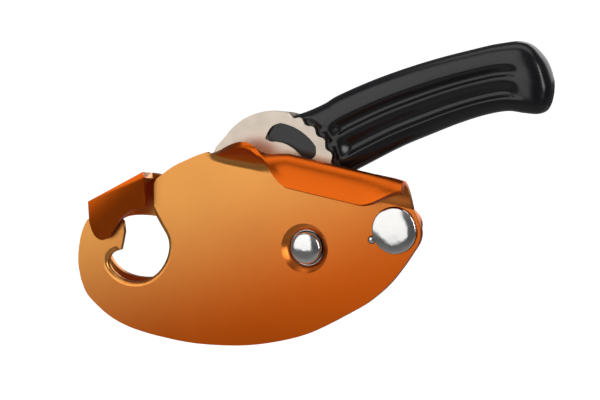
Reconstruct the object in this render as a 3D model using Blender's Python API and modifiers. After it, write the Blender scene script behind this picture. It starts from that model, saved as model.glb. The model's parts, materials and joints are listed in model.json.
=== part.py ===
"""Rope descender for rigging and rescue work, built as separate pieces in their places.

Frame: +X runs along the body from the attachment hole to the main axle's end, +Z is up in the
plane of the side plates, and +Y points from the opening side plate (front) to the fixed one.
The origin is the centre of the attachment hole, midway between the plates.
Outlines are drawn in millimetres around the main axle, and placed by each object's location.
"""

import math

import bmesh
import bpy
from mathutils import Matrix, Vector

MM = 0.001
ALONG_Y = (-math.pi / 2, 0, 0)      # turns an object's own Z axis to +Y

# ---------------------------------------------------------------- driving dimensions, millimetres
AXLE_X, AXLE_Z = 83.0, 5.0          # main axle, from the attachment hole
PIVOT_X, PIVOT_Z = 44.5, 10.5       # side plate pivot, from the main axle
DISC_X, DISC_Z = -16.0, 32.5        # cam discs and handle, from the main axle
MAIN, PIVOT, DISC = (0.0, 0.0), (PIVOT_X, PIVOT_Z), (DISC_X, DISC_Z)

PLATE_T = 3.0                       # side plates
PLATE_GAP = 16.0                    # between the side plates
RUN = 0.4                           # clearance beside a moving piece
FIT = 0.3                           # clearance round a pin or seat
STEP_IN = 0.02                      # keeps the faces of joined solids out of one plane

CHEEK_T = 1.6                       # cam discs
CHEEK_R = 30.3                      # over the teeth's tips
CHEEK_LOBE_R = 24.0                 # discs' lower lobe, round the main axle
TOOTH_PITCH = 14.4                  # degrees
TOOTH_DEPTH = 1.7
TOOTH_FIRST = 22.0                  # degrees, a tooth's tip
SHEAVE_R = 17.0                     # bottom of the rope groove
BUSH_WALL = 1.4

AXLE_R = 8.5
AXLE_BORE_R = 7.9
BUTTON_R = 7.5
BUTTON_RISE = 2.0                   # height of the dome
RECESS_R = 11.6                     # countersink round the button
RECESS_LAND = 0.7

RIVET_HEAD_R = 11.0
RIVET_HEAD_T = 2.4
RIVET_R = 4.0
TAIL_R = 2.6                        # the rivet's thinner end, in the fixed plate
SPACER_R = 5.4

FLAP_GAP = 0.7                      # between the fold-over flap and the front plate
HANDLE_PIN_R = 4.0
HUB_R = 17.0
SHIELD_R, SHIELD_END = 27.0, 103.0  # handle's web behind the discs' windows, end angle in degrees
GRIP_T = 15.0
PAWL_ANGLE = TOOTH_FIRST + TOOTH_PITCH

INNER = PLATE_GAP / 2               # inner faces of the plates
OUTER = INNER + PLATE_T             # outer faces
CHEEK_OUT = INNER - RUN             # outer faces of the discs
CHEEK_IN = CHEEK_OUT - CHEEK_T      # inner faces of the discs
HUB_HALF = CHEEK_IN - RUN           # half thickness of what turns between the discs
FLAP_FRONT = -(OUTER + FLAP_GAP + PLATE_T)

MATERIALS = {
    "orange_anodised": ((0.62, 0.17, 0.03), 0.32, 1.0),
    "satin_steel": ((0.56, 0.52, 0.46), 0.42, 1.0),
    "polished_steel": ((0.75, 0.75, 0.74), 0.18, 1.0),
    "black_gloss": ((0.012, 0.012, 0.014), 0.22, 0.0),
    "bronze": ((0.55, 0.36, 0.16), 0.38, 1.0),
    "spring_steel": ((0.45, 0.46, 0.48), 0.30, 1.0),
}


# ---------------------------------------------------------------- scene and helpers
def clear_scene():
    for item in list(bpy.data.objects):
        bpy.data.objects.remove(item, do_unlink=True)


def make_collection(name):
    group = bpy.data.collections.new(name)
    bpy.context.scene.collection.children.link(group)
    return group


def make_material(name, slot):
    color, roughness, metallic = MATERIALS[slot]
    material = bpy.data.materials.new(name + "_" + slot)
    material.use_nodes = True
    shader = material.node_tree.nodes["Principled BSDF"]
    shader.inputs["Base Color"].default_value = (*color, 1.0)
    shader.inputs["Roughness"].default_value = roughness
    shader.inputs["Metallic"].default_value = metallic
    return material


def add_part(name, piece, slot, hinge=MAIN):
    """Gives a finished piece its name, material and collection, and an origin on its hinge's axis."""
    shift = place(*hinge) - piece.location
    turn_back = piece.rotation_euler.to_matrix().inverted()
    piece.data.transform(Matrix.Translation(-(turn_back @ shift)))
    piece.location += shift
    piece.name = name
    piece.data.name = name
    piece.data.materials.clear()
    piece.data.materials.append(make_material(name, slot))
    for owner in list(piece.users_collection):
        owner.objects.unlink(piece)
    PARTS.objects.link(piece)
    return piece


def place(x=0.0, z=0.0, y=0.0):
    """A location given from the main axle, in metres."""
    return Vector((AXLE_X + x, y, AXLE_Z + z)) * MM


def arc(cx, cz, radius, start, end, steps):
    """Points on a circle's arc, both ends included, angles in degrees."""
    angles = [math.radians(start + (end - start) * i / steps) for i in range(steps + 1)]
    return [(cx + radius * math.cos(a), cz + radius * math.sin(a)) for a in angles]


def ring(radius, steps=32, cx=0.0, cz=0.0):
    return arc(cx, cz, radius, 0, 360, steps)[:-1]


def smooth(points, steps=3):
    """A Catmull-Rom curve through the points, which keeps both end points."""
    ends = [points[0]] + list(points) + [points[-1]]
    curve = []
    for i in range(1, len(ends) - 2):
        before, start, end, after = (Vector(p) for p in ends[i - 1:i + 3])
        for j in range(steps):
            t = j / steps
            curve.append(0.5 * (2 * start + (end - before) * t
                                + (2 * before - 5 * start + 4 * end - after) * t * t
                                + (3 * start - before - 3 * end + after) * t ** 3))
    return [tuple(p) for p in curve] + [tuple(points[-1])]


def mesh_of(source):
    """Makes a closed mesh object of a curve object, and removes the curve."""
    evaluated = source.evaluated_get(bpy.context.evaluated_depsgraph_get())
    mesh = bpy.data.meshes.new_from_object(evaluated)
    shell = bmesh.new()
    shell.from_mesh(mesh)
    bmesh.ops.remove_doubles(shell, verts=shell.verts, dist=0.001 * MM)
    bmesh.ops.recalc_face_normals(shell, faces=shell.faces)
    shell.to_mesh(mesh)
    shell.free()
    solid = bpy.data.objects.new(source.name, mesh)
    solid.matrix_world = source.matrix_world
    bpy.context.scene.collection.objects.link(solid)
    bpy.data.objects.remove(source, do_unlink=True)
    return solid


def flat_solid(loops, front, back, where=None):
    """A sheet cut to closed outlines in X and Z, from y = front to y = back, in millimetres."""
    curve = bpy.data.curves.new("outline", "CURVE")
    curve.dimensions = "2D"
    curve.fill_mode = "BOTH"
    curve.extrude = abs(back - front) / 2 * MM
    for loop in loops:
        spline = curve.splines.new("POLY")
        spline.points.add(len(loop) - 1)
        for point, (x, z) in zip(spline.points, loop):
            point.co = (x * MM, z * MM, 0, 1)
        spline.use_cyclic_u = True
    source = bpy.data.objects.new("outline", curve)
    source.rotation_euler = (math.pi / 2, 0, 0)
    source.location = (where or place()) + Vector((0, (front + back) / 2 * MM, 0))
    bpy.context.scene.collection.objects.link(source)
    bpy.context.view_layer.update()
    return mesh_of(source)


def turned(profile, where, steps=32):
    """A solid turned about Y: the closed profile holds (radius, y) pairs in millimetres."""
    mesh = bpy.data.meshes.new("turned")
    shell = bmesh.new()
    verts = [shell.verts.new((r * MM, 0, y * MM)) for r, y in profile]
    for i, vert in enumerate(verts):
        following = verts[(i + 1) % len(verts)]
        if profile[i][0] > 0 or profile[(i + 1) % len(verts)][0] > 0:
            shell.edges.new((vert, following))
    shell.to_mesh(mesh)
    shell.free()
    solid = bpy.data.objects.new("turned", mesh)
    bpy.context.scene.collection.objects.link(solid)
    screw = solid.modifiers.new("Screw", "SCREW")
    screw.steps = screw.render_steps = steps
    screw.use_merge_vertices = True
    screw.merge_threshold = 0.00001
    solid.rotation_euler = ALONG_Y
    solid.location = where
    bpy.context.view_layer.update()
    return mesh_of(solid)


def apply_modifiers(target):
    evaluated = target.evaluated_get(bpy.context.evaluated_depsgraph_get())
    mesh = bpy.data.meshes.new_from_object(evaluated)
    target.modifiers.clear()
    target.data = mesh


def combine(target, tool, operation):
    """Cuts the tool from the target or joins it on, and keeps the tool among the cutters."""
    modifier = target.modifiers.new(operation.title(), "BOOLEAN")
    modifier.operation = operation
    modifier.solver = "EXACT"
    modifier.object = tool
    bpy.context.view_layer.update()
    apply_modifiers(target)
    tool.hide_render = True
    tool.display_type = "WIRE"
    for owner in list(tool.users_collection):
        owner.objects.unlink(tool)
    CUTTERS.objects.link(tool)


def cut(target, tool):
    combine(target, tool, "DIFFERENCE")


def join(target, tool):
    combine(target, tool, "UNION")


def drill(target, x, z, radius, front, back, steps=32):
    cut(target, flat_solid([ring(radius, steps, x, z)], front, back))


def coil_spring(name, where, mean_r, wire_r, turns, start, end, tilt=ALONG_Y, hinge=MAIN):
    """A coil along its own axis, which tilt turns, from start to end."""
    per_turn = 12
    count = int(turns * per_turn)
    curve = bpy.data.curves.new(name, "CURVE")
    curve.dimensions = "3D"
    curve.bevel_depth = wire_r * MM
    curve.bevel_resolution = 1
    curve.use_fill_caps = True
    spline = curve.splines.new("POLY")
    spline.points.add(count)
    for i, point in enumerate(spline.points):
        angle = 2 * math.pi * i / per_turn
        along = start + (end - start) * i / count
        point.co = (mean_r * math.cos(angle) * MM, mean_r * math.sin(angle) * MM, along * MM, 1)
    source = bpy.data.objects.new(name, curve)
    source.rotation_euler = tilt
    source.location = where
    bpy.context.scene.collection.objects.link(source)
    bpy.context.view_layer.update()
    return add_part(name, mesh_of(source), "spring_steel", hinge)


# ---------------------------------------------------------------- side plates
def lower_edge():
    """The curved lower edge that both plates share, from right to left."""
    return [(26, -27), (9.5, -36), (-2, -41), (-18, -45), (-34, -47), (-54, -47), (-70, -45),
            (-82, -42.5), (-90, -40), (-98, -36), (-105.5, -30), (-109.5, -25.5), (-112, -19.5)]


def lip_line(x):
    """Height of the front plate's bend line, which falls gently to the right."""
    return 37.3 - 0.18 * (x + 39)


def lip_profile(share):
    """Four control points (y, z) of the lip's curve, at a share of the bend line's length."""
    def ramp(low, high):
        t = min(1.0, max(0.0, (share - low) / (high - low)))
        return t * t * (3 - 2 * t)

    def blend(first, second, amount):
        return [tuple(a * (1 - amount) + b * amount for a, b in zip(*pair))
                for pair in zip(first, second)]

    flared = [(0, 0), (-0.3, 5), (-4.0, 9.5), (-8.5, 12.8)]
    drooped = [(0, 0), (0, 16.0), (-5.5, 14.5), (-10.5, -2.2)]
    turned_up = [(0, 0), (0, 14.2), (-5.0, 14.0), (-9.5, 8.2)]
    reach, height = ramp(0.01, 0.21), 0.22 + 0.78 * ramp(0.0, 0.23)
    left = [(y * reach, z * height) for y, z in flared]
    return blend(blend(left, drooped, ramp(0.237, 0.435)), turned_up, ramp(0.774, 1.0))


def lip_solid():
    """The flared lip, lofted through sections along the bend line."""
    stations, steps = 40, 12
    start_x, end_x = -50.0, 53.0
    end_lean, lean_length = 3.0, 12.0   # the lip's right end leans in towards its crest
    sunk = 3.0                          # how far the loft reaches down into the flat plate
    thickness = PLATE_T - 2 * STEP_IN
    mid_y = -(INNER + PLATE_T / 2)
    shell = bmesh.new()
    loops = []
    for i in range(stations + 1):
        share = i / stations
        x = start_x + (end_x - start_x) * share
        base = lip_line(x) - 0.2
        p0, p1, p2, p3 = (Vector(p) for p in lip_profile(share))
        line = [Vector((0, -sunk))]
        for j in range(steps + 1):
            t = j / steps
            line.append(p0 * (1 - t) ** 3 + p1 * 3 * t * (1 - t) ** 2
                        + p2 * 3 * t * t * (1 - t) + p3 * t ** 3)
        outer, inner = [], []
        for j, point in enumerate(line):
            step = line[min(j + 1, len(line) - 1)] - line[max(j - 1, 0)]
            side = Vector((-step.y, step.x)).normalized() * thickness / 2
            outer.append(point + side)
            inner.append(point - side)
        section = outer + inner[::-1]
        lean = end_lean * max(0.0, 1 - (end_x - x) / lean_length) ** 2 / lip_profile(1.0)[1][1]
        loops.append([shell.verts.new(((x - lean * max(0.0, p.y)) * MM, (mid_y + p.x) * MM,
                                       (base + p.y) * MM)) for p in section])
    count = len(loops[0])
    for near, far in zip(loops, loops[1:]):
        for j in range(count):
            k = (j + 1) % count
            shell.faces.new((near[j], near[k], far[k], far[j]))
    rows = count // 2
    for loop in (loops[0], loops[-1]):
        for j in range(rows - 1):
            shell.faces.new((loop[j], loop[j + 1], loop[count - 2 - j], loop[count - 1 - j]))
    bmesh.ops.recalc_face_normals(shell, faces=shell.faces)
    mesh = bpy.data.meshes.new("lip")
    shell.to_mesh(mesh)
    shell.free()
    solid = bpy.data.objects.new("lip", mesh)
    solid.location = place()
    bpy.context.scene.collection.objects.link(solid)
    return solid


def hook_edge():
    """The edge of the front plate's open hook round the attachment hole, from tip to mouth."""
    inside = smooth([(-92, -5), (-96.5, -6.8), (-98.4, -10.8), (-96.8, -14.5), (-92.5, -18),
                     (-87, -19.6), (-80, -18.8), (-73.8, -14.8), (-69.8, -9), (-68.2, -3),
                     (-69, 2), (-72, 7), (-75, 12)])
    return [(-92, 9.6), (-90.8, 8.2), (-90.2, 3.5), (-91.4, -2.5)] + inside + [(-75.2, 26.5)]


def front_plate():
    right = smooth([(53.5, 20.2), (55.8, 15.5), (57.2, 10), (56.2, 5), (53, 0), (48.5, -6.5),
                    (41.5, -15), (33.5, -22)] + lower_edge())
    left = smooth([(-112, -19.5), (-113.4, -11), (-112.2, 0), (-109, 8), (-105, 11)])
    top = smooth([(-74, 29), (-66, 35), (-58, 39), (-52, 41.6), (-48.5, 42.6)])
    bend = [(-45.5, 40.5), (-42, lip_line(-42))]
    outline = top + bend + right + left[1:] + hook_edge()
    plate = flat_solid([outline], -OUTER, -INNER)
    join(plate, lip_solid())
    recess = turned([(0, -OUTER - 1), (RECESS_R + 1.1, -OUTER - 1), (RECESS_R, -OUTER),
                     (AXLE_R, -INNER - RECESS_LAND), (AXLE_R, -INNER + 1), (0, -INNER + 1)],
                    place(), 48)
    cut(plate, recess)
    drill(plate, PIVOT_X, PIVOT_Z, RIVET_R + FIT, -OUTER - 1, -INNER + 1)
    drill(plate, KEY_X, KEY_Z, KEY_R + FIT, -OUTER - 1, -INNER + 1, 16)
    return add_part("front_plate", plate, "orange_anodised", PIVOT)


def wedge(front_loop, back_loop, front, back):
    """A solid between two outlines with as many corners, from y = front to y = back."""
    shell = bmesh.new()
    near, far = ([shell.verts.new((x * MM, y * MM, z * MM)) for x, z in loop]
                 for loop, y in ((front_loop, front), (back_loop, back)))
    shell.faces.new(near)
    shell.faces.new(far[::-1])
    for i in range(len(near)):
        k = (i + 1) % len(near)
        shell.faces.new((near[i], far[i], far[k], near[k]))
    bmesh.ops.recalc_face_normals(shell, faces=shell.faces)
    mesh = bpy.data.meshes.new("wedge")
    shell.to_mesh(mesh)
    shell.free()
    solid = bpy.data.objects.new("wedge", mesh)
    solid.location = place()
    bpy.context.scene.collection.objects.link(solid)
    return solid


def flap():
    """The rear plate's fold-over flap: a channel over the front plate's hook."""
    slope = math.radians(28.6)
    corner = Vector((-105.3, 17.9))
    along = Vector((math.cos(slope), math.sin(slope)))
    across = Vector((-along.y, along.x))
    length, rear_length = 31.3, 23.5             # the fold narrows towards the rear plate

    def at(distance, height):
        return tuple(corner + along * distance + across * height)

    web = wedge([at(0, 0), at(length, 0), at(length, -PLATE_T), at(0, -PLATE_T)],
                [at(0, 0), at(rear_length, 0), at(rear_length, -PLATE_T), at(0, -PLATE_T)],
                FLAP_FRONT, OUTER - 0.5)
    tongue = [at(0, 0), at(length, 0)] + smooth([(-77.4, 28), (-77.2, 17), (-79.2, 16.1), (-83.8, 14.6),
                                               (-89.6, 10.4), (-93.8, 4.6), (-96.6, 1.0), (-100, -0.2),
                                               (-103.4, 2.4), (-105.2, 8)])
    join(web, flat_solid([tongue], FLAP_FRONT, FLAP_FRONT + PLATE_T))
    return web


def rear_plate():
    """The fixed plate. Its right side is drawn in, so that the front plate covers it."""
    right = smooth([(44, 19), (48.6, 15.2), (50, 10.5), (48.4, 5), (43.5, -2), (37, -9), (29.4, -16.5),
                    (20, -24), (9, -31.5), (-4, -38.5), (-18, -43.5), (-34, -46.4), (-54, -46.6),
                    (-70, -44.8), (-82, -42.2), (-90, -39.6), (-98, -35.6), (-106, -29.6),
                    (-111, -22.5), (-114.4, -11), (-115.2, 0), (-113.8, 8), (-110.5, 14),
                    (-105.3, 17.9)])
    top = smooth([(-84.7, 29.15), (-80, 28.6), (-76.5, 27.0), (-72.5, 28.6), (-66, 33.4), (-58, 37.6)])
    crest = [(-48, 41.5), (-38, 37)]
    hole = smooth([(-69, -5), (-70.5, 3), (-76, 8), (-87, 9.4), (-97, 8), (-104, 3), (-106.4, -5),
                   (-104.4, -12.5), (-98, -18), (-88, -20), (-78, -18), (-71.5, -12), (-69, -5)], 4)
    plate = flat_solid([top + crest + right, hole[:-1]], INNER, OUTER)
    join(plate, flap())
    drill(plate, 0, 0, AXLE_R + FIT, INNER - 1, OUTER + 1)
    drill(plate, PIVOT_X, PIVOT_Z, TAIL_R + FIT, INNER - 1, OUTER + 1)
    for x, z in PAD_RIVETS:
        drill(plate, x, z, PAD_RIVET_R + FIT, INNER - 1, OUTER + 1, 16)
    return add_part("rear_plate", plate, "orange_anodised")


# ---------------------------------------------------------------- side plate pivot
KEY_X, KEY_Z, KEY_R = 33.2, 5.6, 1.7        # small pin that keys the rivet to the front plate


def pivot_pieces():
    where = place(PIVOT_X, PIVOT_Z)
    head_back = -OUTER - FIT
    rivet = turned([(0, head_back - RIVET_HEAD_T), (RIVET_HEAD_R * 0.6, head_back - RIVET_HEAD_T + 0.2),
                    (RIVET_HEAD_R - 0.8, head_back - RIVET_HEAD_T + 0.9),
                    (RIVET_HEAD_R, head_back - RIVET_HEAD_T + 1.7), (RIVET_HEAD_R, head_back),
                    (RIVET_R, head_back), (RIVET_R, INNER - FIT), (TAIL_R, INNER - FIT),
                    (TAIL_R, OUTER + 1.8), (0, OUTER + 1.8)], where, 48)
    add_part("pivot_rivet", rivet, "polished_steel", PIVOT)
    collar_r, bore_r = 4.8, TAIL_R + FIT
    collar = turned([(bore_r, OUTER + FIT), (collar_r, OUTER + FIT), (collar_r, OUTER + 1.0),
                     (collar_r - 0.7, OUTER + 1.6), (bore_r, OUTER + 1.6)], where)
    add_part("pivot_collar", collar, "polished_steel", PIVOT)
    washer_t = 1.2
    washer = turned([(RIVET_R + FIT, -INNER + FIT), (SPACER_R, -INNER + FIT),
                     (SPACER_R, -INNER + FIT + washer_t), (RIVET_R + FIT, -INNER + FIT + washer_t)],
                    where)
    add_part("pivot_washer", washer, "bronze")
    spacer = turned([(RIVET_R + FIT, -INNER + 2 * FIT + washer_t), (SPACER_R, -INNER + 2 * FIT + washer_t),
                     (SPACER_R, INNER - FIT), (RIVET_R + FIT, INNER - FIT)], where)
    add_part("pivot_spacer", spacer, "satin_steel")
    key = turned([(0, -OUTER - 1.2), (KEY_R * 0.7, -OUTER - 1.0), (KEY_R, -OUTER - 0.5),
                  (KEY_R, -INNER - 0.3), (0, -INNER - 0.3)], place(KEY_X, KEY_Z), 16)
    clear = flat_solid([ring(RIVET_HEAD_R + FIT, 48, PIVOT_X, PIVOT_Z)], -OUTER - 6, -OUTER)
    cut(key, clear)
    add_part("rivet_key_pin", key, "polished_steel", PIVOT)


# ---------------------------------------------------------------- main axle and lock button
def axle_pieces():
    where = place()
    front = -INNER + RUN
    floor = 4.0                                  # inner end of the button's bore
    shoulder, end = OUTER + 0.8, OUTER + 4.0
    stud_r, nut_r, nut_t = 6.0, 10.4, 2.8
    axle = turned([(AXLE_BORE_R, front), (AXLE_R, front), (AXLE_R, shoulder), (stud_r, shoulder),
                   (stud_r, end), (0, end), (0, floor), (AXLE_BORE_R, floor)], where, 40)
    add_part("main_axle", axle, "satin_steel")
    nut = flat_solid([ring(nut_r, 6), ring(stud_r + FIT, 24)], shoulder + FIT, shoulder + FIT + nut_t)
    add_part("axle_nut", nut, "satin_steel")

    tip = -INNER + FIT + 0.2
    rings, edge = 6, 0.6
    sphere_r = (BUTTON_R ** 2 + BUTTON_RISE ** 2) / (2 * BUTTON_RISE)
    dome = []
    for i in range(rings):
        radius = (BUTTON_R - edge) * i / rings
        dome.append((radius, tip + sphere_r - math.sqrt(sphere_r ** 2 - radius ** 2)))
    dome.append((BUTTON_R - edge, tip + BUTTON_RISE))
    stem_r, collar_y, foot_y = 5.6, -1.2, -3.6
    button = turned(dome + [(BUTTON_R, tip + BUTTON_RISE + edge / 2), (BUTTON_R, collar_y),
                            (stem_r, collar_y), (stem_r, foot_y), (0, foot_y)], where, 40)
    add_part("lock_button", button, "polished_steel")
    coil_spring("lock_spring", where, 4.2, 0.5, 4, -2.9, floor - 0.6)


# ---------------------------------------------------------------- cam: discs, sheave and bush
WINDOW_INNER, WINDOW_OUTER = 16.0, 25.0      # radii of the kidney window
CAM_RIVET_X, CAM_RIVET_Z, CAM_RIVET_R = -42.0, 29.5, 2.2
SHEAVE_RIVET_R, SHEAVE_RIVET_RING = 1.5, 13.7
SHEAVE_RIVETS = arc(0, 0, SHEAVE_RIVET_RING, 60, 420, 3)[:-1]


def toothed_edge(first_angle, last_angle):
    """The disc's toothed arc: rounded teeth with a steeper side, from low to high angle."""
    points = []
    angle = first_angle
    while angle < last_angle:
        for share, depth in ((0.0, 0.0), (0.14, 0.12), (0.30, 0.7), (0.46, 1.0), (0.60, 0.9),
                             (0.76, 0.45), (0.90, 0.08)):
            turn = math.radians(angle + share * TOOTH_PITCH)
            radius = CHEEK_R - depth * TOOTH_DEPTH
            points.append((DISC_X + radius * math.cos(turn), DISC_Z + radius * math.sin(turn)))
        angle += TOOTH_PITCH
    return points


def toothed_outline():
    """The front disc: a toothed side, a plain side that stands out past the handle's swing, and the lobe."""
    first = TOOTH_FIRST - 2 * TOOTH_PITCH
    last = TOOTH_FIRST + 3 * TOOTH_PITCH + 0.1
    swing_end = 144
    plain_side = (arc(DISC_X, DISC_Z, CHEEK_R, last + TOOTH_PITCH, swing_end, 16)
                  + arc(DISC_X - 1.0, DISC_Z + 0.4, CHEEK_R + 0.6, swing_end + 14, 212, 12))
    return toothed_edge(first, last) + plain_side + arc(0, 0, CHEEK_LOBE_R, 186, 376, 30)


def plain_outline():
    """The rear disc, which is round and a little smaller over its top."""
    return (arc(DISC_X, DISC_Z, CHEEK_R - 1.8, -7, 148, 32) + arc(DISC_X, DISC_Z, CHEEK_R, 158, 212, 12)
            + arc(0, 0, CHEEK_LOBE_R, 186, 376, 30))


def window_outline():
    outer = arc(DISC_X, DISC_Z, WINDOW_OUTER, 36, 84, 9)
    inner = arc(DISC_X, DISC_Z, WINDOW_INNER, 96, 44, 8)
    left = smooth([outer[-1], (-17.6, 55.6), (-20.2, 51.6), (-20.6, 49.4), inner[0]], 3)[1:-1]
    right = smooth([inner[-1], (-2.2, 41.6), (1.6, 41.2), (4.2, 43.2), outer[0]], 3)[1:-1]
    return outer + left + inner + right


def cam_disc(name, outline, front, back, bore_r):
    """One of the cam's two cheeks."""
    loops = [outline, window_outline(), ring(bore_r, 36),
             ring(HANDLE_PIN_R + FIT, 28, DISC_X, DISC_Z)]
    loops.append(ring(CAM_RIVET_R + FIT, 16, CAM_RIVET_X, CAM_RIVET_Z))
    if bore_r < SHEAVE_RIVET_RING - SHEAVE_RIVET_R:
        loops += [ring(SHEAVE_RIVET_R + FIT, 16, x, z) for x, z in SHEAVE_RIVETS]
    return add_part(name, flat_solid(loops, front, back), "satin_steel")


def cam_pieces():
    bush_in = AXLE_R + FIT
    bush_out = bush_in + BUSH_WALL
    half = CHEEK_IN - FIT
    pocket_r, pocket_floor = 14.8, 0.4
    cam_disc("toothed_disc", toothed_outline(), -CHEEK_OUT, -CHEEK_IN, bush_in)
    cam_disc("plain_disc", plain_outline(), CHEEK_IN, CHEEK_OUT, pocket_r)
    bush = turned([(bush_in, -half), (bush_out, -half), (bush_out, half), (bush_in, half)], place(), 36)
    add_part("sheave_bush", bush, "bronze")
    wide = SHEAVE_R + 1.6
    sheave = turned([(bush_out + FIT, -half), (wide, -half), (SHEAVE_R, -half + 2.6), (SHEAVE_R, half - 2.6),
                     (wide, half), (pocket_r, half), (pocket_r, pocket_floor),
                     (bush_out + FIT, pocket_floor)], place(), 48)
    rivet_end = pocket_floor - 2.0
    for i, (x, z) in enumerate(SHEAVE_RIVETS):
        drill(sheave, x, z, SHEAVE_RIVET_R + FIT, -half - 1, rivet_end + FIT, 16)
        rivet = turned([(0, -CHEEK_OUT), (SHEAVE_RIVET_R, -CHEEK_OUT), (SHEAVE_RIVET_R, rivet_end),
                        (0, rivet_end)], place(x, z), 16)
        add_part("sheave_rivet_%d" % (i + 1), rivet, "polished_steel")
    add_part("rope_sheave", sheave, "satin_steel")
    coil_spring("cam_spring", place(), (bush_out + pocket_r) / 2, 0.8, 2.5, pocket_floor + 1.2, half - 1.0)
    length, shoulder = CHEEK_OUT - 0.1, CAM_RIVET_R + 1.2
    rivet = turned([(0, -length), (CAM_RIVET_R, -length), (CAM_RIVET_R, -CHEEK_IN + FIT),
                    (shoulder, -CHEEK_IN + FIT), (shoulder, CHEEK_IN - FIT),
                    (CAM_RIVET_R, CHEEK_IN - FIT), (CAM_RIVET_R, length), (0, length)],
                   place(CAM_RIVET_X, CAM_RIVET_Z), 20)
    add_part("cam_rivet", rivet, "polished_steel")
    pin = turned([(0, -CHEEK_OUT), (HANDLE_PIN_R, -CHEEK_OUT), (HANDLE_PIN_R, CHEEK_OUT), (0, CHEEK_OUT)],
                 place(DISC_X, DISC_Z), 28)
    add_part("handle_pin", pin, "polished_steel")


# ---------------------------------------------------------------- brake pad
PAD_INNER, PAD_OUTER = 29.5, 36.0
PAD_START, PAD_END = 196, 238
PAD_RIVET_R = 1.9
PAD_RIVETS = tuple((33.0 * math.cos(math.radians(a)), 33.0 * math.sin(math.radians(a)))
                   for a in (PAD_START + 9, PAD_END - 9))


def brake_pieces():
    outline = (arc(0, 0, PAD_OUTER, PAD_START, PAD_END, 10) + arc(0, 0, PAD_INNER, PAD_END, PAD_START, 10))
    loops = [outline] + [ring(PAD_RIVET_R + FIT, 16, x, z) for x, z in PAD_RIVETS]
    add_part("brake_pad", flat_solid(loops, -INNER + RUN + 0.6, INNER - FIT), "satin_steel")
    for i, (x, z) in enumerate(PAD_RIVETS):
        start = -INNER + RUN + 0.8
        rivet = turned([(0, start), (PAD_RIVET_R, start), (PAD_RIVET_R, OUTER + FIT),
                        (PAD_RIVET_R + 1.6, OUTER + FIT), (PAD_RIVET_R + 1.2, OUTER + 1.6),
                        (0, OUTER + 1.9)], place(x, z), 20)
        add_part("brake_pad_rivet_%d" % (i + 1), rivet, "polished_steel")


# ---------------------------------------------------------------- handle and clutch
HANDLE_STATIONS = (
    # centre x, centre z, half width, half thickness, tilt in degrees
    (-3.0, 43.5, 18.0, HUB_HALF, 30.0),
    (7.0, 48.0, 17.2, GRIP_T / 2, 29.2),
    (14.6, 51.8, 17.0, GRIP_T / 2, 28.5),
    (20.9, 55.4, 17.2, GRIP_T / 2, 28.0),
    (36.5, 63.0, 16.7, GRIP_T / 2, 26.4),
    (51.7, 69.2, 16.3, GRIP_T / 2, 23.5),
    (66.6, 74.7, 15.7, GRIP_T / 2, 19.5),
    (81.3, 79.2, 15.3, GRIP_T / 2, 14.5),
    (94.0, 82.1, 15.6, GRIP_T / 2, 8.0),
    (104.2, 82.3, 16.2, GRIP_T / 2 + 0.5, 0.0),
    (111.4, 79.0, 13.2, GRIP_T / 2 + 0.3, -5.0),
    (115.2, 75.2, 8.4, GRIP_T / 2 - 1.5, -10.0),
    (116.6, 73.6, 4.0, GRIP_T / 2 - 4.0, -12.0),
)
POCKET_NEAR, POCKET_FAR = 30.0, 50.0         # the clutch pocket's ends, from the handle's pivot
SLOT_NEAR, SLOT_FAR = 28.0, 35.1             # the pawl noses' slots
POCKET_HALF = 6.4


def handle_solid():
    """The lever, lofted through rounded sections from hub to flared end."""
    corners = 20
    power = 0.62                             # below 1 makes a section squarer than an ellipse
    shell = bmesh.new()
    loops = []
    for x, z, half_width, half_depth, tilt in HANDLE_STATIONS:
        lean = math.radians(tilt)
        up = Vector((-math.sin(lean), math.cos(lean)))
        loop = []
        for i in range(corners):
            a = 2 * math.pi * (i + 0.5) / corners
            wide = math.copysign(abs(math.cos(a)) ** power, math.cos(a)) * half_width
            deep = math.copysign(abs(math.sin(a)) ** power, math.sin(a)) * half_depth
            spot = Vector((x, z)) + up * wide
            loop.append(shell.verts.new((spot.x * MM, deep * MM, spot.y * MM)))
        loops.append(loop)
    for near, far in zip(loops, loops[1:]):
        for i in range(corners):
            k = (i + 1) % corners
            shell.faces.new((near[i], near[k], far[k], far[i]))
    shell.faces.new(loops[0])
    shell.faces.new(loops[-1][::-1])
    bmesh.ops.recalc_face_normals(shell, faces=shell.faces)
    mesh = bpy.data.meshes.new("handle")
    shell.to_mesh(mesh)
    shell.free()
    solid = bpy.data.objects.new("handle", mesh)
    solid.location = place()
    bpy.context.scene.collection.objects.link(solid)
    return solid


def radial(distance, offset, angle=PAWL_ANGLE):
    """A point at a distance from the handle's pivot along the pawl's direction."""
    turn = math.radians(angle)
    return (DISC_X + distance * math.cos(turn) - offset * math.sin(turn),
            DISC_Z + distance * math.sin(turn) + offset * math.cos(turn))


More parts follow.
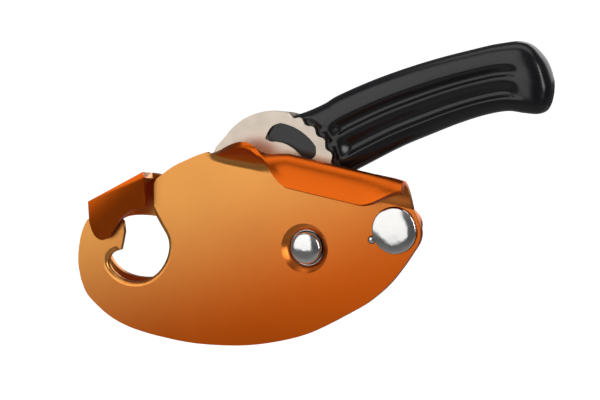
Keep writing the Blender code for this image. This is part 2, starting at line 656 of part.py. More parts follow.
def handle_pieces():
    handle = handle_solid()
    shield = arc(DISC_X, DISC_Z, SHIELD_R, -5, SHIELD_END, 24) + [(DISC_X, DISC_Z)]
    for outline, inset in ((shield, 2 * STEP_IN), (ring(HUB_R, 40, *DISC), STEP_IN)):
        join(handle, flat_solid([outline], -HUB_HALF + inset, HUB_HALF - inset))
    bush_out = HANDLE_PIN_R + FIT + BUSH_WALL
    drill(handle, DISC_X, DISC_Z, bush_out + FIT, -GRIP_T, GRIP_T)
    clear_r = CHEEK_R + 0.6
    for near, far in ((-GRIP_T, -HUB_HALF), (HUB_HALF, GRIP_T)):
        cut(handle, flat_solid([ring(clear_r, 60, DISC_X, DISC_Z)], near, far))
    for side in (-1, 1):
        low, high = side * NIB_OFFSET - NIB_HALF - RUN, side * NIB_OFFSET + NIB_HALF + RUN
        slot = [radial(SLOT_NEAR, low), radial(SLOT_FAR, low), radial(SLOT_FAR, high),
                radial(SLOT_NEAR, high)]
        cut(handle, flat_solid([slot], -GRIP_T, PAWL_BACK + FIT))
    pocket = [radial(POCKET_NEAR, -POCKET_HALF), radial(POCKET_FAR, -POCKET_HALF),
              radial(POCKET_FAR, POCKET_HALF), radial(POCKET_NEAR, POCKET_HALF)]
    cut(handle, flat_solid([pocket], PAWL_FRONT - FIT, PAWL_BACK + FIT))
    add_part("handle", handle, "black_gloss", DISC)

    bush = turned([(HANDLE_PIN_R + FIT, -HUB_HALF), (bush_out, -HUB_HALF), (bush_out, HUB_HALF),
                   (HANDLE_PIN_R + FIT, HUB_HALF)], place(DISC_X, DISC_Z), 28)
    add_part("handle_bush", bush, "bronze", DISC)
    clutch_pieces()


PAWL_FRONT, PAWL_BACK = -3.8, 0.9
NIB_TIP = CHEEK_R + 0.35
NIB_BASE = 33.3
NIB_OFFSET, NIB_HALF = 4.2, 1.9              # each nose's middle and half width
NIB_TIP_HALF = 0.4
PAWL_REAR = 40.0


def clutch_pieces():
    """The two-nosed pawl that can enter the front disc's teeth, and its spring."""
    half = POCKET_HALF - FIT
    body = [radial(NIB_BASE, -half), radial(PAWL_REAR, -half), radial(PAWL_REAR, half),
            radial(NIB_BASE, half)]
    pawl = flat_solid([body], PAWL_FRONT, PAWL_BACK)
    for side in (-1, 1):
        middle = PAWL_ANGLE + side * TOOTH_PITCH / 2
        across = side * NIB_OFFSET
        tip = radial(NIB_TIP, 0, middle)
        quarter = math.radians(middle + 90)
        aside = Vector((math.cos(quarter), math.sin(quarter))) * NIB_TIP_HALF
        nose = [radial(NIB_BASE + 1.2, across - NIB_HALF), radial(NIB_BASE + 1.2, across + NIB_HALF),
                tuple(Vector(tip) + aside), tuple(Vector(tip) - aside)]
        join(pawl, flat_solid([nose], -CHEEK_OUT + 0.1, PAWL_BACK - 0.4))
    add_part("clutch_pawl", pawl, "black_gloss", DISC)
    spring_gap = 0.7
    start_x, start_z = radial(PAWL_REAR + spring_gap, 0)
    tilt = (0, math.pi / 2 - math.radians(PAWL_ANGLE), 0)
    coil_spring("clutch_spring", place(start_x, start_z, (PAWL_FRONT + PAWL_BACK) / 2), 1.6, 0.35, 6,
                0.0, POCKET_FAR - PAWL_REAR - 2 * spring_gap, tilt, DISC)


# ---------------------------------------------------------------- build
clear_scene()
PARTS = make_collection("rope_descender")
CUTTERS = make_collection("cutters")
front_plate()
rear_plate()
pivot_pieces()
axle_pieces()
cam_pieces()
brake_pieces()
handle_pieces()
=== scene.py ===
import json
import math

import bmesh
import bpy
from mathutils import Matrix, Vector

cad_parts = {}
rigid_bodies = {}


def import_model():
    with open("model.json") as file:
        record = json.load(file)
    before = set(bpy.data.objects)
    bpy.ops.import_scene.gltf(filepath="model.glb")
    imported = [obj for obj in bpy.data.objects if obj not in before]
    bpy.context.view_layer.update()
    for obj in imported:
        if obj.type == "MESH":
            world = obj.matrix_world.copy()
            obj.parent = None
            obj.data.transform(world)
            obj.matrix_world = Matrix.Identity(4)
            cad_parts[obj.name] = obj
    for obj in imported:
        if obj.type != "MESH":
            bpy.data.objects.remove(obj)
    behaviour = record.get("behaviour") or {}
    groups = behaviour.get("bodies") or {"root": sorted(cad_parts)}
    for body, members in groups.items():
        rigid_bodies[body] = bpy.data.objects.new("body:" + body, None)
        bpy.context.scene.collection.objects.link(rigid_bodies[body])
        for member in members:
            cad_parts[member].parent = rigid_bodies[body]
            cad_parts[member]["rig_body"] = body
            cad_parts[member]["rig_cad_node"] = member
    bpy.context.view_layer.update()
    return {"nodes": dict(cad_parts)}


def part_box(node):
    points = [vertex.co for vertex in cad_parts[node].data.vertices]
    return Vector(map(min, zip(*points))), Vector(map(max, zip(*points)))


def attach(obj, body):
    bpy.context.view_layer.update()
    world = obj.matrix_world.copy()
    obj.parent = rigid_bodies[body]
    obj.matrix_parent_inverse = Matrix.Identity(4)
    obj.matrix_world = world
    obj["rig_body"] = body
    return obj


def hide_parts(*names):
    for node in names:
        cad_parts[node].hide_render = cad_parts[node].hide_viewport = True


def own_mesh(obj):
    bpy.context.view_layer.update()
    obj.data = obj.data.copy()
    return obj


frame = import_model()
nodes = frame["nodes"]
mm = 0.001

# where the pins lie, read from the frame
axleLow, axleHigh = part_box("main_axle")
axle = (axleLow + axleHigh) / 2
pinLow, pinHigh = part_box("handle_pin")
discHub = (pinLow + pinHigh) / 2
plateDepth = 3.3 * mm  # the opening plate's thickness and the washer's clearance
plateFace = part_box("pivot_washer")[0].y - plateDepth  # outer face of the opening plate


edgeHolder = bpy.data.materials.new("edgeHolder")  # marks new faces until a piece gets its finish


def deselectAll():
    if bpy.context.object and bpy.context.object.mode != "OBJECT":
        bpy.ops.object.mode_set(mode="OBJECT")
    bpy.ops.object.select_all(action="DESELECT")


def focus(piece):
    deselectAll()
    piece.select_set(True)
    bpy.context.view_layer.objects.active = piece


def applyAll(piece):
    focus(piece)
    for modifier in list(piece.modifiers):
        bpy.ops.object.modifier_apply(modifier=modifier.name)


def settle(piece):  # place goes into the mesh, the object stays at the origin
    focus(piece)
    bpy.ops.object.transform_apply(location=True, rotation=True, scale=True)


def smoothEdges(piece, angle=32):  # smooth shading that leaves broad flat faces flat
    focus(piece)
    bpy.ops.object.shade_smooth_by_angle(angle=math.radians(angle))
    modifier = piece.modifiers.new("flatFaces", "WEIGHTED_NORMAL")
    modifier.keep_sharp = True
    applyAll(piece)


def roundEdges(piece, width, segments=3, angle=35):  # the new faces take material place 1
    modifier = piece.modifiers.new("roundEdges", "BEVEL")
    modifier.width = width
    modifier.segments = segments
    modifier.limit_method = "ANGLE"
    modifier.angle_limit = math.radians(angle)
    modifier.material = 1
    applyAll(piece)


def smoothPlate(piece, angle=38):  # broad faces square to the pins stay flat, edges turn smoothly
    focus(piece)
    bpy.ops.object.shade_smooth_by_angle(angle=math.radians(angle))
    for face in piece.data.polygons:
        if abs(face.normal.y) > 0.9995:
            face.use_smooth = False


def markEdges(piece):  # keeps which faces are edges as a mask that the group for edge wear and painted edge highlights reads
    mask = piece.data.attributes.new("edgeShare", "FLOAT", "CORNER")
    for face in piece.data.polygons:
        for corner in face.loop_indices:
            mask.data[corner].value = face.material_index
        face.material_index = 0


def tidyCopy(node, name):
    piece = nodes[node].copy()
    piece.data = nodes[node].data.copy()
    piece.name = name
    piece.parent = None
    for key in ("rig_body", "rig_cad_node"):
        if key in piece:
            del piece[key]
    bpy.context.scene.collection.objects.link(piece)
    piece.data.materials.clear()
    for place in range(2):
        piece.data.materials.append(edgeHolder)
    for face in piece.data.polygons:
        face.material_index = 0
    focus(piece)
    bpy.ops.object.mode_set(mode="EDIT")
    bpy.ops.mesh.select_all(action="SELECT")
    bpy.ops.mesh.remove_doubles(threshold=0.002 * mm)
    bpy.ops.mesh.dissolve_limited(angle_limit=math.radians(1.2))
    bpy.ops.object.mode_set(mode="OBJECT")
    return piece


def finishPiece(piece, node, body, material):
    markEdges(piece)
    piece.data.materials.clear()
    piece.data.materials.append(material)
    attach(piece, body)
    if node:
        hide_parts(node)


# shader groups are built once and placed in each material with its own values
def newGroup(name, inputs, outputs):
    group = bpy.data.node_groups.new(name, "ShaderNodeTree")
    for label, kind, value in inputs:
        socket = group.interface.new_socket(label, in_out="INPUT", socket_type=kind)
        if value is not None:
            socket.default_value = value
    for label, kind in outputs:
        group.interface.new_socket(label, in_out="OUTPUT", socket_type=kind)
    start = group.nodes.new("NodeGroupInput")
    end = group.nodes.new("NodeGroupOutput")
    return group, start, end


def buildGrainGroup():  # fine grain for metal: a height, a mask for colour and a roughness
    group, start, end = newGroup("metalGrain", [
        ("Fine Scale", "NodeSocketFloat", 2200.0), ("Cloud Scale", "NodeSocketFloat", 22.0),
        ("Rough Low", "NodeSocketFloat", 0.3), ("Rough High", "NodeSocketFloat", 0.4),
        ("Stretch", "NodeSocketVector", (1, 1, 1)), ("Dent Scale", "NodeSocketFloat", 150.0),
        ("Dent Depth", "NodeSocketFloat", 0.0)],
        [("Height", "NodeSocketFloat"), ("Cloud", "NodeSocketFloat"), ("Roughness", "NodeSocketFloat")])
    tree = group.nodes
    link = group.links.new
    place = tree.new("ShaderNodeTexCoord")
    mapping = tree.new("ShaderNodeMapping")
    fine = tree.new("ShaderNodeTexNoise")
    fine.inputs["Detail"].default_value = 3.0
    cloud = tree.new("ShaderNodeTexNoise")
    cloud.inputs["Detail"].default_value = 4.0
    spread = tree.new("ShaderNodeMapRange")
    spread.inputs["From Min"].default_value = 0.3
    spread.inputs["From Max"].default_value = 0.7
    dents = tree.new("ShaderNodeTexNoise")
    dents.inputs["Detail"].default_value = 1.0
    deepen = tree.new("ShaderNodeMath")
    deepen.operation = "MULTIPLY_ADD"
    link(place.outputs["Object"], dents.inputs["Vector"])
    link(start.outputs["Dent Scale"], dents.inputs["Scale"])
    link(dents.outputs["Fac"], deepen.inputs[0])
    link(start.outputs["Dent Depth"], deepen.inputs[1])
    link(fine.outputs["Fac"], deepen.inputs[2])
    link(place.outputs["Object"], mapping.inputs["Vector"])
    link(start.outputs["Stretch"], mapping.inputs["Scale"])
    link(mapping.outputs["Vector"], fine.inputs["Vector"])
    link(start.outputs["Fine Scale"], fine.inputs["Scale"])
    link(place.outputs["Object"], cloud.inputs["Vector"])
    link(start.outputs["Cloud Scale"], cloud.inputs["Scale"])
    link(cloud.outputs["Fac"], spread.inputs["Value"])
    link(start.outputs["Rough Low"], spread.inputs["To Min"])
    link(start.outputs["Rough High"], spread.inputs["To Max"])
    link(deepen.outputs["Value"], end.inputs["Height"])
    link(cloud.outputs["Fac"], end.inputs["Cloud"])
    link(spread.outputs["Result"], end.inputs["Roughness"])
    return group


def buildWearAndHighlightGroup():  # near 1 on rounded edges, broken up where a hand hasn't rubbed them; the lighter colour it lets in is partly wear and partly a painted highlight along the edges
    group, start, end = newGroup("edgeWearAndHighlight", [
        ("Amount", "NodeSocketFloat", 0.6), ("Breakup Scale", "NodeSocketFloat", 180.0)],
        [("Mask", "NodeSocketFloat")])
    tree = group.nodes
    link = group.links.new
    share = tree.new("ShaderNodeAttribute")
    share.attribute_name = "edgeShare"
    place = tree.new("ShaderNodeTexCoord")
    noise = tree.new("ShaderNodeTexNoise")
    breakup = tree.new("ShaderNodeMapRange")
    breakup.inputs["From Min"].default_value = 0.35
    breakup.inputs["From Max"].default_value = 0.6
    both = tree.new("ShaderNodeMath")
    both.operation = "MULTIPLY"
    scaled = tree.new("ShaderNodeMath")
    scaled.operation = "MULTIPLY"
    link(place.outputs["Object"], noise.inputs["Vector"])
    link(start.outputs["Breakup Scale"], noise.inputs["Scale"])
    link(noise.outputs["Fac"], breakup.inputs["Value"])
    link(share.outputs["Fac"], both.inputs[0])
    link(breakup.outputs["Result"], both.inputs[1])
    link(both.outputs["Value"], scaled.inputs[0])
    link(start.outputs["Amount"], scaled.inputs[1])
    link(scaled.outputs["Value"], end.inputs["Mask"])
    return group


grainGroup = buildGrainGroup()
wearAndHighlightGroup = buildWearAndHighlightGroup()

# each finish's edge colour is partly rubbed wear and partly a painted highlight along the rounded edges
finishes = {
    "anodisedOrange": {"dark": (0.60, 0.095, 0.005), "light": (0.66, 0.120, 0.009), "metallic": 1.0,
                       "rough": (0.27, 0.33), "fine": 2600.0, "cloud": 26.0, "bump": 0.10,
                       "stretch": (1, 1, 1), "wornAndHighlight": (0.92, 0.44, 0.12), "coat": 0.0,
                       "dent": (40.0, 0.6),
                       # painted reflection: the orange plates' flat faces blend towards a paler gold
                       # along one direction
                       "paintedSheen": {"towards": (-0.365, 0, 0.931), "start": -54.9, "end": 21.6,
                                 "colour": (0.72, 0.31, 0.075), "proud": -12.4, "flush": -11.6}},
    "satinSteel": {"dark": (0.68, 0.59, 0.49), "light": (0.79, 0.69, 0.58), "metallic": 0.95,
                   "rough": (0.38, 0.50), "fine": 2400.0, "cloud": 160.0, "bump": 0.22,
                   "stretch": (1, 1, 1), "wornAndHighlight": (0.85, 0.83, 0.80), "coat": 0.0, "dent": (90.0, 0.5)},
    "turnedSteel": {"dark": (0.48, 0.48, 0.48), "light": (0.62, 0.62, 0.61), "metallic": 1.0,
                    "rough": (0.22, 0.32), "fine": 900.0, "cloud": 90.0, "bump": 0.05,
                    "stretch": (1, 8, 1), "wornAndHighlight": (0.9, 0.9, 0.9), "coat": 0.0, "dent": (100.0, 0.0)},
    "polishedSteel": {"dark": (0.62, 0.62, 0.60), "light": (0.80, 0.79, 0.77), "metallic": 1.0,
                      "rough": (0.10, 0.20), "fine": 1200.0, "cloud": 260.0, "bump": 0.10,
                      "stretch": (1, 1, 1), "wornAndHighlight": (0.95, 0.95, 0.95), "coat": 0.0,
                      "dent": (210.0, 9.0)},
    "bushBronze": {"dark": (0.42, 0.25, 0.09), "light": (0.60, 0.40, 0.17), "metallic": 1.0,
                   "rough": (0.30, 0.42), "fine": 900.0, "cloud": 120.0, "bump": 0.05,
                   "stretch": (1, 4, 1), "wornAndHighlight": (0.8, 0.6, 0.3), "coat": 0.0, "dent": (100.0, 0.0)},
    "springWire": {"dark": (0.34, 0.35, 0.37), "light": (0.50, 0.51, 0.53), "metallic": 1.0,
                   "rough": (0.22, 0.32), "fine": 900.0, "cloud": 200.0, "bump": 0.04,
                   "stretch": (1, 1, 1), "wornAndHighlight": (0.8, 0.8, 0.8), "coat": 0.0, "dent": (100.0, 0.0)},
    "glossBlack": {"dark": (0.003, 0.003, 0.004), "light": (0.007, 0.006, 0.008), "metallic": 0.0,
                   "rough": (0.20, 0.27), "fine": 700.0, "cloud": 40.0, "bump": 0.06,
                   "stretch": (1, 1, 1), "wornAndHighlight": (0.03, 0.03, 0.033), "coat": 0.0, "dent": (60.0, 1.2)},
}


def addPaintedSheen(material, colour, look):  # stands in for a broad soft reflection on the flat faces
    if "paintedSheen" not in look:
        return colour
    paintedSheen = look["paintedSheen"]
    tree = material.node_tree.nodes
    link = material.node_tree.links.new
    place = tree.new("ShaderNodeTexCoord")
    along = tree.new("ShaderNodeVectorMath")
    along.operation = "DOT_PRODUCT"
    along.inputs[1].default_value = paintedSheen["towards"]
    paler = tree.new("ShaderNodeMapRange")
    paler.interpolation_type = "SMOOTHSTEP"
    paler.inputs["From Min"].default_value = paintedSheen["start"] * mm
    paler.inputs["From Max"].default_value = paintedSheen["end"] * mm
    split = tree.new("ShaderNodeSeparateXYZ")
    flush = tree.new("ShaderNodeMapRange")
    flush.inputs["From Min"].default_value = paintedSheen["proud"] * mm
    flush.inputs["From Max"].default_value = paintedSheen["flush"] * mm
    both = tree.new("ShaderNodeMath")
    both.operation = "MULTIPLY"
    blend = tree.new("ShaderNodeMix")
    blend.data_type = "RGBA"
    blend.inputs["B"].default_value = (*paintedSheen["colour"], 1)
    link(place.outputs["Object"], along.inputs[0])
    link(along.outputs["Value"], paler.inputs["Value"])
    link(place.outputs["Object"], split.inputs["Vector"])
    link(split.outputs["Y"], flush.inputs["Value"])
    link(paler.outputs["Result"], both.inputs[0])
    link(flush.outputs["Result"], both.inputs[1])
    link(both.outputs["Value"], blend.inputs["Factor"])
    link(colour, blend.inputs["A"])
    return blend.outputs["Result"]


def makeMaterial(name):
    look = finishes[name]
    material = bpy.data.materials.new(name)
    material.use_nodes = True
    tree = material.node_tree.nodes
    link = material.node_tree.links.new
    shader = tree["Principled BSDF"]
    grain = tree.new("ShaderNodeGroup")
    grain.node_tree = grainGroup
    grain.inputs["Fine Scale"].default_value = look["fine"]
    grain.inputs["Cloud Scale"].default_value = look["cloud"]
    grain.inputs["Rough Low"].default_value = look["rough"][0]
    grain.inputs["Rough High"].default_value = look["rough"][1]
    grain.inputs["Stretch"].default_value = look["stretch"]
    grain.inputs["Dent Scale"].default_value, grain.inputs["Dent Depth"].default_value = look["dent"]
    wearAndHighlight = tree.new("ShaderNodeGroup")
    wearAndHighlight.node_tree = wearAndHighlightGroup
    tint = tree.new("ShaderNodeMix")
    tint.data_type = "RGBA"
    tint.inputs["A"].default_value = (*look["dark"], 1)
    tint.inputs["B"].default_value = (*look["light"], 1)
    # rounded edges take a lighter colour: partly rubbed wear, partly a painted highlight
    wearAndHighlightMix = tree.new("ShaderNodeMix")
    wearAndHighlightMix.data_type = "RGBA"
    wearAndHighlightMix.inputs["B"].default_value = (*look["wornAndHighlight"], 1)
    bump = tree.new("ShaderNodeBump")
    bump.inputs["Strength"].default_value = look["bump"]
    bump.inputs["Distance"].default_value = 0.05 * mm
    link(grain.outputs["Cloud"], tint.inputs["Factor"])
    # the flat faces of the orange plates get a painted reflection blended into their colour
    link(addPaintedSheen(material, tint.outputs["Result"], look), wearAndHighlightMix.inputs["A"])
    link(wearAndHighlight.outputs["Mask"], wearAndHighlightMix.inputs["Factor"])
    link(wearAndHighlightMix.outputs["Result"], shader.inputs["Base Color"])
    link(grain.outputs["Roughness"], shader.inputs["Roughness"])
    link(grain.outputs["Height"], bump.inputs["Height"])
    link(bump.outputs["Normal"], shader.inputs["Normal"])
    shader.inputs["Metallic"].default_value = look["metallic"]
    shader.inputs["Coat Weight"].default_value = look["coat"]
    shader.inputs["Coat Roughness"].default_value = 0.08
    return material


materials = {name: makeMaterial(name) for name in finishes}
print("materials made")


plateLook = {
    "edge": 0.8, "rim": 2.2, "rimTurn": 0.6,  # widths in mm, and the least angle of a rim edge
    "eyeLeft": -20, "eyeRight": 18, "eyeFoot": -20, "mouthTop": 31, "eyeCentre": 2, "eyeReach": 26,
    "prongRight": -6.5, "prongFoot": -0.3,
    "flapLean": 0.13, "flapBack": -11.5, "flapFoot": 4.0, "flapSkew": 0.4,
}


def inRim(spot):  # the eye's open hook and the mouth above it, without the prong
    look = plateLook
    x, z = spot.x / mm, spot.z / mm
    nearEye = look["eyeLeft"] < x < look["eyeRight"] and look["eyeFoot"] < z < look["mouthTop"]
    prong = x < look["prongRight"] and z > look["prongFoot"]
    reach = math.hypot(x - look["eyeCentre"], z - look["eyeCentre"])
    return nearEye and not prong and reach < look["eyeReach"]


def rollRim(piece):  # the rolled rim round the attachment eye, along the opening plate's outer face
    focus(piece)
    bpy.ops.object.mode_set(mode="EDIT")
    bpy.ops.mesh.select_mode(type="EDGE")
    bpy.ops.mesh.select_all(action="DESELECT")
    shell = bmesh.from_edit_mesh(piece.data)
    for edge in shell.edges:
        onFace = all(abs(v.co.y - plateFace) < 0.05 * mm for v in edge.verts)
        sharp = edge.calc_face_angle(0) > plateLook["rimTurn"]
        edge.select = onFace and sharp and all(inRim(v.co) for v in edge.verts)
    bmesh.update_edit_mesh(piece.data)
    bpy.ops.mesh.bevel(offset=plateLook["rim"] * mm, segments=5, profile=0.5, clamp_overlap=False,
                       material=1)
    bpy.ops.object.mode_set(mode="OBJECT")


frontPlate = tidyCopy("front_plate", "openingPlate")
rollRim(frontPlate)
roundEdges(frontPlate, plateLook["edge"] * mm, 3, 40)
smoothPlate(frontPlate)
finishPiece(frontPlate, "front_plate", "side_plate", materials["anodisedOrange"])


def leanFlap(piece):  # the flap's face leans out a little towards its fold
    look = plateLook
    for vert in piece.data.vertices:
        if vert.co.y < look["flapBack"] * mm:
            rise = vert.co.z - look["flapFoot"] * mm - look["flapSkew"] * vert.co.x
            vert.co.y -= look["flapLean"] * rise


rearPlate = tidyCopy("rear_plate", "fixedPlate")
leanFlap(rearPlate)
roundEdges(rearPlate, plateLook["edge"] * mm, 3, 40)
smoothPlate(rearPlate)
finishPiece(rearPlate, "rear_plate", "fixed_plate", materials["anodisedOrange"])
print("side plates made")


# each plain metal piece is a tidied copy with rounded edges: body, slot, finish, edge in mm
smallPieces = {
    "toothed_disc": ("cam", "satin_steel", "satinSteel", 0.22),
    "plain_disc": ("cam", "satin_steel", "satinSteel", 0.22),
    "rope_sheave": ("cam", "satin_steel", "turnedSteel", 0.4),
    "sheave_bush": ("cam", "bronze", "bushBronze", 0.2),
    "sheave_rivet_1": ("cam", "polished_steel", "turnedSteel", 0.2),
    "sheave_rivet_2": ("cam", "polished_steel", "turnedSteel", 0.2),
    "sheave_rivet_3": ("cam", "polished_steel", "turnedSteel", 0.2),
    "cam_rivet": ("cam", "polished_steel", "turnedSteel", 0.3),
    "handle_pin": ("cam", "polished_steel", "turnedSteel", 0.3),
    "main_axle": ("fixed_plate", "satin_steel", "turnedSteel", 0.25),
    "axle_nut": ("fixed_plate", "satin_steel", "turnedSteel", 0.5),
    "brake_pad": ("fixed_plate", "satin_steel", "satinSteel", 0.5),
    "brake_pad_rivet_1": ("fixed_plate", "polished_steel", "turnedSteel", 0.2),
    "brake_pad_rivet_2": ("fixed_plate", "polished_steel", "turnedSteel", 0.2),
    "pivot_spacer": ("fixed_plate", "satin_steel", "turnedSteel", 0.4),
    "pivot_washer": ("fixed_plate", "bronze", "bushBronze", 0.2),
    "pivot_rivet": ("side_plate", "polished_steel", "polishedSteel", 0.5),
    "pivot_collar": ("side_plate", "polished_steel", "turnedSteel", 0.3),
    "rivet_key_pin": ("side_plate", "polished_steel", "polishedSteel", 0.3),
    "handle_bush": ("lever", "bronze", "bushBronze", 0.2),
    "clutch_pawl": ("pawl", "black_gloss", "glossBlack", 0.2),
}
buttonLook = {"radius": 7.5, "apex": -12.0, "edge": -9.7, "foot": -6.6, "rings": 7,
              "lastInset": 0.55, "travel": 3.5}


def makeButton():  # a domed cap, inset ring by ring from a cylinder's front face
    look = buttonLook
    deselectAll()
    depth = look["foot"] - look["edge"]
    bpy.ops.mesh.primitive_cylinder_add(
        vertices=64, radius=look["radius"] * mm, depth=depth * mm,
        location=(axle.x, (look["edge"] + depth / 2) * mm, axle.z), rotation=(math.pi / 2, 0, 0))
    button = bpy.context.object
    button.name = "domedButton"
    settle(button)
    for place in range(2):
        button.data.materials.append(edgeHolder)
    bpy.ops.object.mode_set(mode="EDIT")
    bpy.ops.mesh.select_mode(type="FACE")
    bpy.ops.mesh.select_all(action="DESELECT")
    shell = bmesh.from_edit_mesh(button.data)
    for face in shell.faces:
        face.select = face.normal.y < -0.9
    bmesh.update_edit_mesh(button.data)
    rise = look["edge"] - look["apex"]
    turns = [math.pi / 2 * k / look["rings"] for k in range(look["rings"] + 1)]
    for start, end in zip(turns, turns[1:-1]):
        bpy.ops.mesh.inset(thickness=look["radius"] * (math.cos(start) - math.cos(end)) * mm,
                           depth=rise * (math.sin(end) - math.sin(start)) * mm)
    bpy.ops.mesh.inset(thickness=look["radius"] * math.cos(turns[-2]) * look["lastInset"] * mm,
                       depth=rise * (1 - math.sin(turns[-2])) * mm)
    bpy.ops.object.mode_set(mode="OBJECT")
    smoothEdges(button, 50)
    return button


button = makeButton()
finishPiece(button, "lock_button", "button", materials["polishedSteel"])
for node, (body, slotName, finish, width) in smallPieces.items():
    piece = tidyCopy(node, node + "_fine")
    roundEdges(piece, width * mm, 2, 40)
    smoothEdges(piece)
    finishPiece(piece, node, body, materials[finish])

springs = {"cam_spring": "fixed_plate", "lock_spring": "fixed_plate", "clutch_spring": "lever"}
for node, body in springs.items():
    piece = tidyCopy(node, node + "_fine")
    modifier = piece.modifiers.new("roundWire", "SUBSURF")
    modifier.levels = modifier.render_levels = 2
    applyAll(piece)
    focus(piece)
    bpy.ops.object.shade_smooth()
    finishPiece(piece, node, body, materials["springWire"])
    if node == "lock_spring":  # it gets a mesh of its own; the real spring shortens as the button is pressed
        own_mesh(piece)
print("metal pieces made")


# the handle is its hub, from the frame, and the grip with its two long grooves
handleLook = {
    "around": 200, "between": 10, "square": 3.0,
    "profile": ((-1.0, 0.0), (-0.60, 0.0), (-0.47, 3.2), (-0.40, 3.4), (-0.03, 0.7), (0.02, 0.6),
                (0.10, 2.9), (0.16, 3.1), (0.46, 0.1), (0.52, 0.0), (1.0, 0.0)),  # across, depth
    "grooveStart": 6.0,
    "discRadius": 31.2, "hubDepth": 5.4, "stepLength": 2.4, "hubReach": 25.0, "lean": 28.0,
    "stations": (  # centre x and z from the main axle, half width, half depth, tilt, groove share
        (-3.0, 43.5, 18.0, 7.5, 30.0, 1.0), (7.0, 48.0, 17.2, 7.5, 29.2, 1.0),
        (14.6, 51.8, 17.0, 7.5, 28.5, 1.0), (20.9, 55.4, 17.2, 7.5, 28.0, 1.0),
        (36.5, 63.0, 16.7, 7.5, 26.4, 1.0), (51.7, 69.2, 16.3, 7.5, 23.5, 1.0),
        (66.6, 74.7, 15.7, 7.5, 19.5, 1.0), (81.3, 79.2, 15.3, 7.5, 14.5, 0.95),
        (94.0, 82.1, 15.6, 7.5, 8.0, 0.8), (104.2, 82.3, 16.2, 8.0, 0.0, 0.08),
        (111.4, 79.0, 13.2, 7.8, -5.0, 0.0), (115.2, 75.2, 8.4, 6.0, -10.0, 0.0),
        (116.6, 73.6, 4.0, 3.5, -12.0, 0.0)),
}


def ease(low, high, value):
    share = min(1.0, max(0.0, (value - low) / (high - low)))
    return share * share * (3 - 2 * share)


def between(before, start, end, after, t):
    return 0.5 * (2 * start + (end - before) * t + (2 * before - 5 * start + 4 * end - after) * t * t
                  + (3 * start - before - 3 * end + after) * t ** 3)


def gripSections():
    stations = handleLook["stations"]
    last = len(stations) - 1
    sections = []
    for i in range(last):
        for j in range(handleLook["between"]):
            four = [stations[max(0, min(last, k))] for k in range(i - 1, i + 3)]
            sections.append([between(*values, j / handleLook["between"]) for values in zip(*four)])
    return sections + [list(stations[last])]


def grooveAt(wide):  # two long slopes that face down, each with a short one that faces up
    for (low, lowDepth), (high, highDepth) in zip(handleLook["profile"], handleLook["profile"][1:]):
        if low <= wide <= high:
            return lowDepth + (highDepth - lowDepth) * ease(low, high, wide)
    return 0.0


def sectionPoint(section, spoke):
    x, z, halfWidth, halfDepth, tilt, share = section
    half = handleLook["around"] // 2
    side = -1 if spoke < half else 1
    turn = math.pi * ((spoke % half) + 0.5) / half
    wide = side * math.cos(turn)
    power = handleLook["square"]
    deep = halfDepth * (1 - abs(wide) ** power) ** (1 / power)
    lean = math.radians(tilt)
    spot = Vector((axle.x + (x - math.sin(lean) * wide * halfWidth) * mm, 0,
                   axle.z + (z + math.cos(lean) * wide * halfWidth) * mm))
    reach = Vector((spot.x - discHub.x, spot.z - discHub.z)).length / mm
    step = handleLook["discRadius"] + handleLook["stepLength"]
    rise = ease(handleLook["discRadius"], step, reach)
    cap = handleLook["hubDepth"] + (halfDepth - handleLook["hubDepth"]) * rise
    share *= ease(step, step + handleLook["grooveStart"], reach)
    deep -= min(grooveAt(wide) * share, 0.6 * deep)
    spot.y = side * min(deep, cap) * mm
    return spot


def shapeRim(piece, section):  # moves the selected ring of corners to a section of the grip
    shell = bmesh.from_edit_mesh(piece.data)
    ring = sorted((v for v in shell.verts if v.select), key=lambda v: v.index)
    for step, vert in enumerate(ring):
        vert.co = sectionPoint(section, step)
    bmesh.update_edit_mesh(piece.data)


def makeGrip():
    sections = gripSections()
    deselectAll()
    bpy.ops.mesh.primitive_circle_add(vertices=handleLook["around"], radius=16 * mm, fill_type="NGON",
                                      rotation=(math.pi / 2, 0, 0))
    grip = bpy.context.object
    grip.name = "groovedGrip"
    settle(grip)
    grip.data.materials.append(edgeHolder)
    bpy.ops.object.mode_set(mode="EDIT")
    bpy.ops.mesh.select_mode(type="FACE")
    bpy.ops.mesh.select_all(action="SELECT")
    shapeRim(grip, sections[0])
    for section in sections[1:]:
        bpy.ops.mesh.extrude_region_move(TRANSFORM_OT_translate={"value": (1 * mm, 0, 0)})
        shapeRim(grip, section)
    bpy.ops.mesh.select_all(action="SELECT")
    bpy.ops.mesh.normals_make_consistent(inside=False)
    bpy.ops.object.mode_set(mode="OBJECT")
    focus(grip)
    bpy.ops.object.shade_smooth()
    return grip


def makeHub():  # the end of the handle that turns between the discs
    hub = tidyCopy("handle", "handleHub")
    lean = math.radians(handleLook["lean"])
    along = Vector((math.cos(lean), 0, math.sin(lean)))
    bpy.ops.object.mode_set(mode="EDIT")
    bpy.ops.mesh.select_all(action="SELECT")
    bpy.ops.mesh.bisect(plane_co=Vector((discHub.x, 0, discHub.z)) + along * handleLook["hubReach"] * mm,
                        plane_no=along, use_fill=True, clear_outer=True)
    bpy.ops.object.mode_set(mode="OBJECT")
    roundEdges(hub, 0.4 * mm, 2, 40)
    smoothEdges(hub, 35)
    return hub


grip = makeGrip()
finishPiece(grip, None, "lever", materials["glossBlack"])
handleHub = makeHub()
finishPiece(handleHub, "handle", "lever", materials["glossBlack"])
print("handle made")


studio = {"floor": -0.30, "azimuth": 21.5, "elevation": 7.0, "distance": 3.9957, "lens": 520.0,
          "aim": (-2.6, -10.1, 22.3)}  # aim is given from the main axle, in millimetres


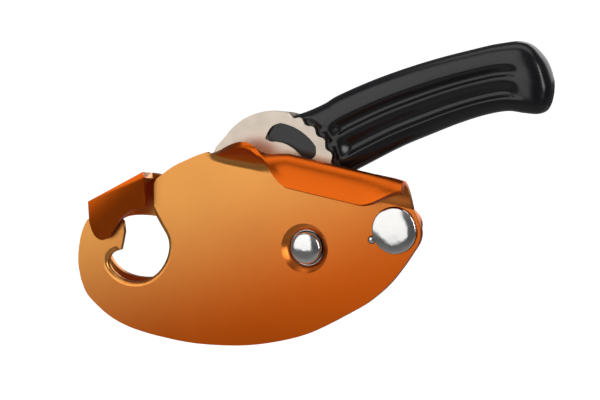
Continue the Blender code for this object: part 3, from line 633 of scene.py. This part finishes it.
lights = {  # place, size, power and aim, in metres and watts
    "frontSoftbox": ((-0.225, -0.42, 0.22), (0.60, 0.60), 1.42, (-0.225, 0, 0.22)),
    "topSoftbox": ((0.10, -0.10, 0.60), (0.75, 0.34), 0.9, (0.08, 0, 0.03)),
    "rightStrip": ((0.62, -0.35, 0.20), (0.10, 0.5), 1.2, (0.1, 0, 0.04)),
    "backSoftbox": ((0.20, 0.85, 0.30), (0.70, 0.50), 1.6, (0.06, 0, 0.02)),
}


def makeStage():
    deselectAll()
    bpy.ops.mesh.primitive_plane_add(size=60, location=(0, 0, studio["floor"]))
    floor = bpy.context.object
    floor.name = "floor"
    material = bpy.data.materials.new("paleFloor")
    material.use_nodes = True
    shader = material.node_tree.nodes["Principled BSDF"]
    shader.inputs["Base Color"].default_value = (0.55, 0.55, 0.55, 1)
    shader.inputs["Roughness"].default_value = 0.9
    shader.inputs["Emission Color"].default_value = (1, 1, 1, 1)
    seen = material.node_tree.nodes.new("ShaderNodeLightPath")
    material.node_tree.links.new(seen.outputs["Is Camera Ray"], shader.inputs["Emission Strength"])
    floor.data.materials.append(material)


def makeLight(name, spot, size, power, aimAt):
    deselectAll()
    bpy.ops.object.light_add(type="AREA", location=spot)
    light = bpy.context.object
    light.name = name
    light.data.shape = "RECTANGLE"
    light.data.size, light.data.size_y = size
    light.data.energy = power
    light.visible_camera = False
    light.rotation_euler = (Vector(aimAt) - Vector(spot)).to_track_quat("-Z", "Y").to_euler()


def makeCamera():
    turn, tilt = math.radians(studio["azimuth"]), math.radians(studio["elevation"])
    away = Vector((math.sin(turn) * math.cos(tilt), -math.cos(turn) * math.cos(tilt), math.sin(tilt)))
    target = Vector((axle.x, 0, axle.z)) + Vector(studio["aim"]) * mm
    bpy.ops.object.camera_add(location=target + away * studio["distance"])
    camera = bpy.context.object
    camera.rotation_euler = (-away).to_track_quat("-Z", "Y").to_euler()
    camera.data.lens = studio["lens"]
    camera.data.sensor_width = 36
    camera.data.clip_start = 0.01
    bpy.context.scene.camera = camera


def makeWorld():  # pale behind the object, dimmer and graded in what the metal mirrors
    world = bpy.data.worlds.new("studioWorld")
    world.use_nodes = True
    tree = world.node_tree.nodes
    link = world.node_tree.links.new
    place = tree.new("ShaderNodeTexCoord")
    split = tree.new("ShaderNodeSeparateXYZ")
    grade = tree.new("ShaderNodeValToRGB")
    grade.color_ramp.elements[0].position = 0.38
    grade.color_ramp.elements[0].color = (0.03, 0.028, 0.027, 1)
    grade.color_ramp.elements[1].position = 0.72
    grade.color_ramp.elements[1].color = (0.18, 0.18, 0.19, 1)
    lift = tree.new("ShaderNodeMapRange")
    lift.inputs["From Min"].default_value = -1
    seen = tree.new("ShaderNodeLightPath")
    choose = tree.new("ShaderNodeMix")
    choose.data_type = "RGBA"
    choose.inputs["B"].default_value = (1, 1, 1, 1)
    link(place.outputs["Generated"], split.inputs["Vector"])
    link(split.outputs["Z"], lift.inputs["Value"])
    link(lift.outputs["Result"], grade.inputs["Fac"])
    link(grade.outputs["Color"], choose.inputs["A"])
    link(seen.outputs["Is Camera Ray"], choose.inputs["Factor"])
    link(choose.outputs["Result"], tree["Background"].inputs["Color"])
    bpy.context.scene.world = world


makeStage()
for name, (spot, size, power, aimAt) in lights.items():
    makeLight(name, spot, size, power, aimAt)
makeWorld()
makeCamera()
bpy.context.scene.view_settings.view_transform = "Standard"
print("studio made")
